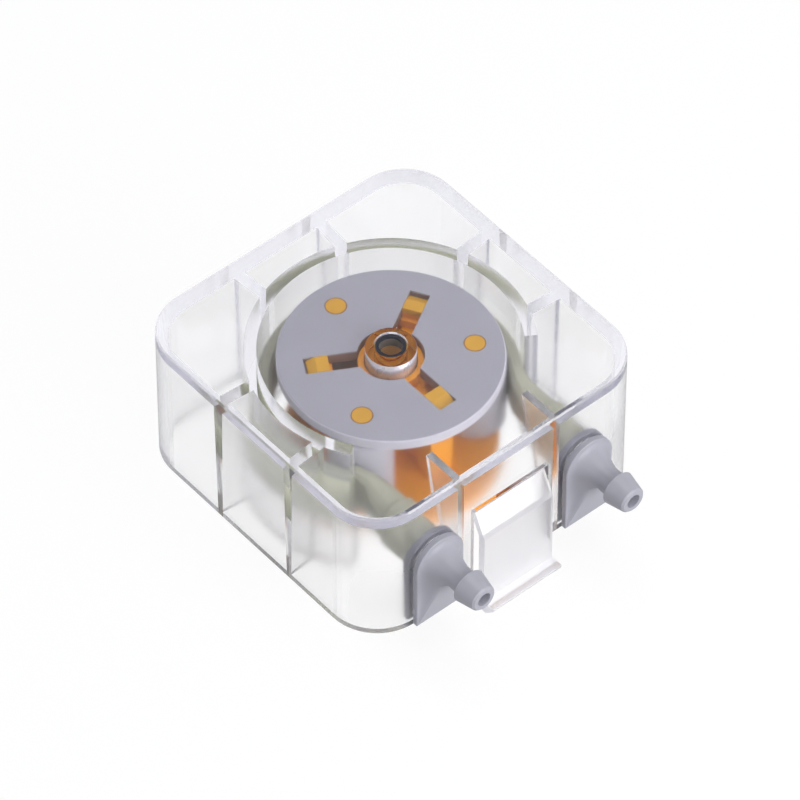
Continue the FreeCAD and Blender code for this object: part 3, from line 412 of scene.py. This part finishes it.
def gridMesh(name, grid, closedRows, closedColumns, sharpAngle):
    # grid is rows by columns by 3; each cell is one quad, and the faces are turned outwards
    # by the sign of the volume that they enclose
    rows, columns = grid.shape[:2]
    r = np.arange(rows if closedRows else rows - 1)[:, None]
    c = np.arange(columns if closedColumns else columns - 1)[None, :]
    nextRow = (r + 1) % rows
    nextColumn = (c + 1) % columns
    faces = np.stack([r * columns + c, r * columns + nextColumn,
                      nextRow * columns + nextColumn, nextRow * columns + c],
                     axis=-1).reshape(-1, 4)
    points = grid.reshape(-1, 3)
    a, b, d = points[faces[:, 0]], points[faces[:, 1]], points[faces[:, 2]]
    if np.einsum("ij,ij->i", a, np.cross(b, d)).sum() < 0:
        faces = faces[:, ::-1]
    mesh = bpy.data.meshes.new(name)
    mesh.vertices.add(len(points))
    mesh.vertices.foreach_set("co", points.astype(np.float32).ravel())
    mesh.loops.add(faces.size)
    mesh.loops.foreach_set("vertex_index", faces.astype(np.int32).ravel())
    mesh.polygons.add(len(faces))
    mesh.polygons.foreach_set("loop_start", np.arange(0, faces.size, 4, dtype=np.int32))
    mesh.update(calc_edges=True)
    mesh.validate()
    mesh.shade_smooth()
    mesh.set_sharp_from_angle(angle=math.radians(sharpAngle))
    skin = bpy.data.objects.new(name, mesh)
    bpy.context.scene.collection.objects.link(skin)
    return skin


# Hose connectors: one closed skin carried along the bore's axis. Each row is an outline that
# lies between a circle and the flange's arch; between the flange and the neck the front is a
# concave dish, apart from the flat facet under the neck. Lengths are in mm; columns are the
# points on the arch's left side, foot, right side and round top.

connectorShape = {"flange": 1.1, "rimInset": 0.3, "edge": 0.12, "webInset": 1.05, "wall": 2.1,
                  "innerFlange": 1.1, "innerNeck": 1.8, "innerBarb": 2.2,
                  "innerBarbBack": 3.4, "innerReach": 6.4, "neck": 2.25, "barb": 3.15,
                  "barbBack": 6.8, "barbTip": 2.4, "barbReach": 10.8, "tipChamfer": 0.35,
                  "bore": 1.25, "facetRise": 2.9, "facetBlend": 0.45, "dishRise": 4.3,
                  "dishPower": 2.3, "dishRows": 12, "columns": (12, 18, 12, 44),
                  "sharp": 32}
quarter = math.pi / 4


def archOutline(angle, half, foot):
    # half-round top, straight sides down to the foot; quarters of a half turn give the sides
    x = np.where(angle >= 0, half * np.cos(angle), 0.0)
    z = np.where(angle >= 0, half * np.sin(angle), 0.0)
    right = (angle < 0) & (angle >= -quarter)
    x = np.where(right, half, x)
    z = np.where(right, foot * angle / quarter, z)
    below = (angle < -quarter) & (angle >= -3 * quarter)
    x = np.where(below, half * (angle + 2 * quarter) / quarter, x)
    z = np.where(below, -foot, z)
    left = angle < -3 * quarter
    x = np.where(left, -half, x)
    z = np.where(left, -foot * (angle + 4 * quarter) / quarter, z)
    return np.stack([x, z], axis=-1)


def buildConnector(node, shape):
    low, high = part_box(node)
    half = (high[0] - low[0]) / 2 / mm
    middle = (low[0] + high[0]) / 2
    level = high[2] - half * mm
    foot = (level - low[2]) / mm
    wallFace = low[1] + (shape["flange"] + shape["barbReach"]) * mm
    stops = (-4 * quarter, -3 * quarter, -quarter, 0, 4 * quarter)
    angle = np.concatenate([np.linspace(start, stop, count, endpoint=False) for
                            start, stop, count in zip(stops, stops[1:], shape["columns"])])
    circle = np.stack([np.cos(angle), np.sin(angle)], axis=-1)
    rows = []

    def ring(out, radius):
        rows.append((np.full(angle.shape, out), radius * circle))

    def arch(out, inset):
        outline = archOutline(angle, half - inset, foot - inset)
        rows.append((np.full(angle.shape, out), outline))

    def web(out):
        outline = archOutline(angle, half - shape["webInset"], foot)
        rows.append((np.full(angle.shape, out), outline))

    front = shape["flange"]
    tip = front + shape["barbReach"]
    edge = shape["edge"]
    barbBack = front + shape["barbBack"]
    ring(tip, shape["bore"] + edge / 2)
    ring(tip, shape["barbTip"] - shape["tipChamfer"])
    ring(tip - shape["tipChamfer"], shape["barbTip"])
    ring(barbBack + edge, shape["barb"] - edge / 6)
    ring(barbBack, shape["barb"] - edge)
    ring(barbBack, shape["neck"])

    # dish: share runs from 0 at the neck to 1 at the rim; the rise over the flange is the
    # dish's rise times (1 - share) to a power, which falls to 1 over the facet
    pastFacet = np.abs(angle + 2 * quarter) - quarter
    fromFacet = np.clip(pastFacet / (shape["facetBlend"] * quarter), 0, 1)
    ease = fromFacet ** 2 * (3 - 2 * fromFacet)
    rise = shape["facetRise"] + (shape["dishRise"] - shape["facetRise"]) * ease
    power = 1 + (shape["dishPower"] - 1) * ease
    rim = archOutline(angle, half - shape["rimInset"], foot - shape["rimInset"])
    for share in np.linspace(0, 1, shape["dishRows"]):
        outline = circle * shape["neck"] * (1 - share) + rim * share
        rows.append((front + rise * (1 - share) ** power, outline))
    arch(front, edge)
    arch(front - edge, 0)
    arch(edge, 0)
    arch(0, edge)
    web(0)
    web(-shape["wall"])
    arch(-shape["wall"], edge)
    arch(-shape["wall"] - edge, 0)
    inner = -shape["wall"] - shape["innerFlange"]
    arch(inner + edge, 0)
    arch(inner, edge)
    ring(inner, shape["innerNeck"])
    ring(inner - shape["innerBarbBack"], shape["innerNeck"])
    ring(inner - shape["innerBarbBack"], shape["innerBarb"])
    ring(inner - shape["innerReach"], shape["innerNeck"])
    ring(inner - shape["innerReach"], shape["bore"])
    ring(tip - edge, shape["bore"])
    out = np.stack([row[0] for row in rows])
    flat = np.stack([row[1] for row in rows])
    grid = np.stack([middle + flat[..., 0] * mm, wallFace - out * mm,
                     level + flat[..., 1] * mm], axis=-1)
    return gridMesh(node + "_skin", grid, True, True, shape["sharp"])


for node in ("connector_left", "connector_right"):
    skin = buildConnector(node, connectorShape)
    skin.data.materials.append(made["connector"])
    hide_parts(node)
    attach(skin, "housing")
print("connectors shaped")


# Two thin sleeves, in mm and degrees. Where the soft tube is pressed against the raceway there
# is no air between them, so its colour shows through the clear wall: a band just inside the
# wall's inner face, whose colour is a much lighter copy of the tube's, painted light for the
# shade the band stands in. The pivot boss's outer face is frosted, so it reads as a silvery
# sleeve.

contact = {"name": "tube_contact", "radius": 22.03, "low": 9.3, "high": 17.1, "from": -33.0,
           "to": 213.0, "columns": 124, "rows": 3, "closed": False, "wall": 0.02, "sharp": 60,
           "finish": "tubeContactBrightened", "slot": "tube_rubber"}
bossSkin = {"name": "boss_skin", "radius": 4.28, "low": 19.3, "high": 25.05, "from": 0.0,
            "to": 360.0, "columns": 72, "rows": 4, "closed": True, "wall": 0.02, "sharp": 60,
            "finish": "boss", "slot": "clear_plastic"}


def buildSleeve(spec):
    # a cylinder round the drive axis, angle along and height up, as a wall that grows inwards
    turn = np.linspace(spec["from"], spec["to"], spec["columns"], endpoint=not spec["closed"])
    angle = np.radians(turn)[None, :]
    height = np.linspace(spec["low"], spec["high"], spec["rows"])[:, None]
    x, y, z = np.broadcast_arrays(spec["radius"] * np.cos(angle),
                                  spec["radius"] * np.sin(angle), height)
    grid = np.stack([x, y, z], axis=-1) * mm
    skin = gridMesh(spec["name"], grid, False, spec["closed"], spec["sharp"])
    solid = skin.modifiers.new("wall", "SOLIDIFY")
    solid.thickness = spec["wall"] * mm
    solid.offset = -1.0
    skin.data.materials.append(made[spec["finish"]])
    return skin


for spec in (contact, bossSkin):
    skin = buildSleeve(spec)
    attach(skin, "housing")
print("contact band and boss skin shaped")


# Floor: white to the camera and through the clear plastic, and it keeps the object's shadow.
# Its glow is lower where it is mirrored in an outer face and higher where it is seen through
# the plastic; light scattered by a matt face meets a plain pale floor.

floorSpec = {"half": 1.5, "drop": 0.0002, "paper": 0.15, "glow": 0.88, "mirrored": 0.35,
             "through": 0.97, "plain": 0.8}


def buildFloor(spec):
    height = cadLow.z - spec["drop"]
    reach = spec["half"]
    mesh = bpy.data.meshes.new("floor")
    mesh.from_pydata([(-reach, -reach, height), (reach, -reach, height),
                      (reach, reach, height), (-reach, reach, height)], [], [(0, 1, 2, 3)])
    floor = bpy.data.objects.new("floor", mesh)
    bpy.context.scene.collection.objects.link(floor)
    material, tree, output = newMaterial("paleFloor")
    rays = addNode(tree, "ShaderNodeLightPath")
    glossy, refracted = rays.outputs["Is Glossy Ray"], rays.outputs["Is Transmission Ray"]
    unit = (0.0, 1.0)
    mirror = number(tree, "SUBTRACT", glossy, refracted)
    level = rescale(tree, mirror, unit, (spec["glow"], spec["mirrored"]))
    strength = rescale(tree, refracted, unit, (level, spec["through"]))
    paper = addNode(tree, "ShaderNodeBsdfDiffuse", Color=(spec["paper"],) * 3 + (1,))
    plain = addNode(tree, "ShaderNodeBsdfDiffuse", Color=(spec["plain"],) * 3 + (1,))
    glow = addNode(tree, "ShaderNodeEmission", Strength=strength)
    both = tree.nodes.new("ShaderNodeAddShader")
    feed(tree, both.inputs[0], paper.outputs[0])
    feed(tree, both.inputs[1], glow.outputs[0])
    seen = number(tree, "MAXIMUM", rays.outputs["Is Camera Ray"], glossy)
    seenToo = number(tree, "MAXIMUM", seen, refracted)
    shown = number(tree, "MULTIPLY", seenToo, notScattered(tree, rays))
    feed(tree, output.inputs["Surface"],
         mixShaders(tree, shown, plain.outputs[0], both.outputs[0]))
    mesh.materials.append(material)


buildFloor(floorSpec)


# World: light grey where the camera meets it past the floor; reflections see it pale low down
# and dim high up; the rest is a soft even studio

worldSpec = {"direct": (0.8, 0.8, 0.8, 1), "soft": 0.46, "softColor": (0.96, 0.97, 1.0, 1),
             "pale": (0.92, 0.92, 0.97, 1), "paleTo": 0.64, "dimFrom": 0.75, "dim": 0.30}


def buildWorld(spec):
    world = bpy.data.worlds.new("studio")
    bpy.context.scene.world = world
    world.use_nodes = True
    tree = world.node_tree
    tree.nodes.clear()
    output = tree.nodes.new("ShaderNodeOutputWorld")
    rise = split(tree, addNode(tree, "ShaderNodeTexCoord").outputs["Generated"])[2]
    fade = rescale(tree, rise, (spec["paleTo"], spec["dimFrom"]), (1.0, spec["dim"]))
    direct = addNode(tree, "ShaderNodeBackground", Color=spec["direct"])
    pale = addNode(tree, "ShaderNodeBackground", Color=spec["pale"], Strength=fade)
    soft = addNode(tree, "ShaderNodeBackground", Color=spec["softColor"],
                   Strength=spec["soft"])
    rays = addNode(tree, "ShaderNodeLightPath")
    shiny = number(tree, "MAXIMUM", rays.outputs["Is Glossy Ray"],
                   rays.outputs["Is Transmission Ray"])
    shown = number(tree, "MULTIPLY", shiny, notScattered(tree, rays))
    studio = mixShaders(tree, shown, soft.outputs[0], pale.outputs[0])
    feed(tree, output.inputs["Surface"],
         mixShaders(tree, rays.outputs["Is Camera Ray"], studio, direct.outputs[0]))


buildWorld(worldSpec)

lamps = {
    "key": {"place": (0.08, 0.0, 0.65), "size": 0.35, "power": 1.0},
    "fill": {"place": (0.10, -0.62, 0.17), "size": 0.45, "power": 2.6},
}


def buildLamp(name, spec):
    # a square soft lamp aimed at the middle of the object
    data = bpy.data.lights.new(name, "AREA")
    data.shape = "SQUARE"
    data.size = spec["size"]
    data.energy = spec["power"]
    lamp = bpy.data.objects.new(name, data)
    bpy.context.scene.collection.objects.link(lamp)
    lamp.location = spec["place"]
    aim = (cadLow + cadHigh) / 2 - Vector(spec["place"])
    lamp.rotation_mode = "QUATERNION"
    lamp.rotation_quaternion = aim.to_track_quat("-Z", "Y")


for name, spec in lamps.items():
    buildLamp(name, spec)
print("floor and lights set")


# Camera: fitted to the photograph; it stands off along its back direction from an aim point
# that is given in its own plane

viewSpec = {"azimuth": -40.469, "elevation": 48.702, "roll": 0.079, "distance": 1.20593,
            "lens": 326.669, "sensor": 36.0, "aimRight": 0.001501, "aimUp": 0.008942,
            "near": 0.05, "far": 10.0}


def buildCamera(spec):
    azimuth = math.radians(spec["azimuth"])
    elevation = math.radians(spec["elevation"])
    back = Vector((math.sin(azimuth) * math.cos(elevation),
                   -math.cos(azimuth) * math.cos(elevation), math.sin(elevation)))
    right = Vector((math.cos(azimuth), math.sin(azimuth), 0))
    up = back.cross(right)
    aim = right * spec["aimRight"] + up * spec["aimUp"]
    data = bpy.data.cameras.new("camera")
    data.lens = spec["lens"]
    data.sensor_width = spec["sensor"]
    data.clip_start = spec["near"]
    data.clip_end = spec["far"]
    camera = bpy.data.objects.new("camera", data)
    bpy.context.scene.collection.objects.link(camera)
    axes = Matrix((right, up, back)).transposed()
    roll = Matrix.Rotation(math.radians(spec["roll"]), 3, "Z")
    stand = Matrix.Translation(aim + back * spec["distance"])
    camera.matrix_world = stand @ (axes @ roll).to_4x4()
    bpy.context.scene.camera = camera


buildCamera(viewSpec)
bpy.context.scene.view_settings.view_transform = "Standard"

# Light runs far inside the clear walls before it leaves them, so its paths may be long
paths = {"max_bounces": 56, "glossy_bounces": 40, "transmission_bounces": 40,
         "diffuse_bounces": 4, "transparent_max_bounces": 16}
for key, value in paths.items():
    setattr(bpy.context.scene.cycles, key, value)
print("camera set")
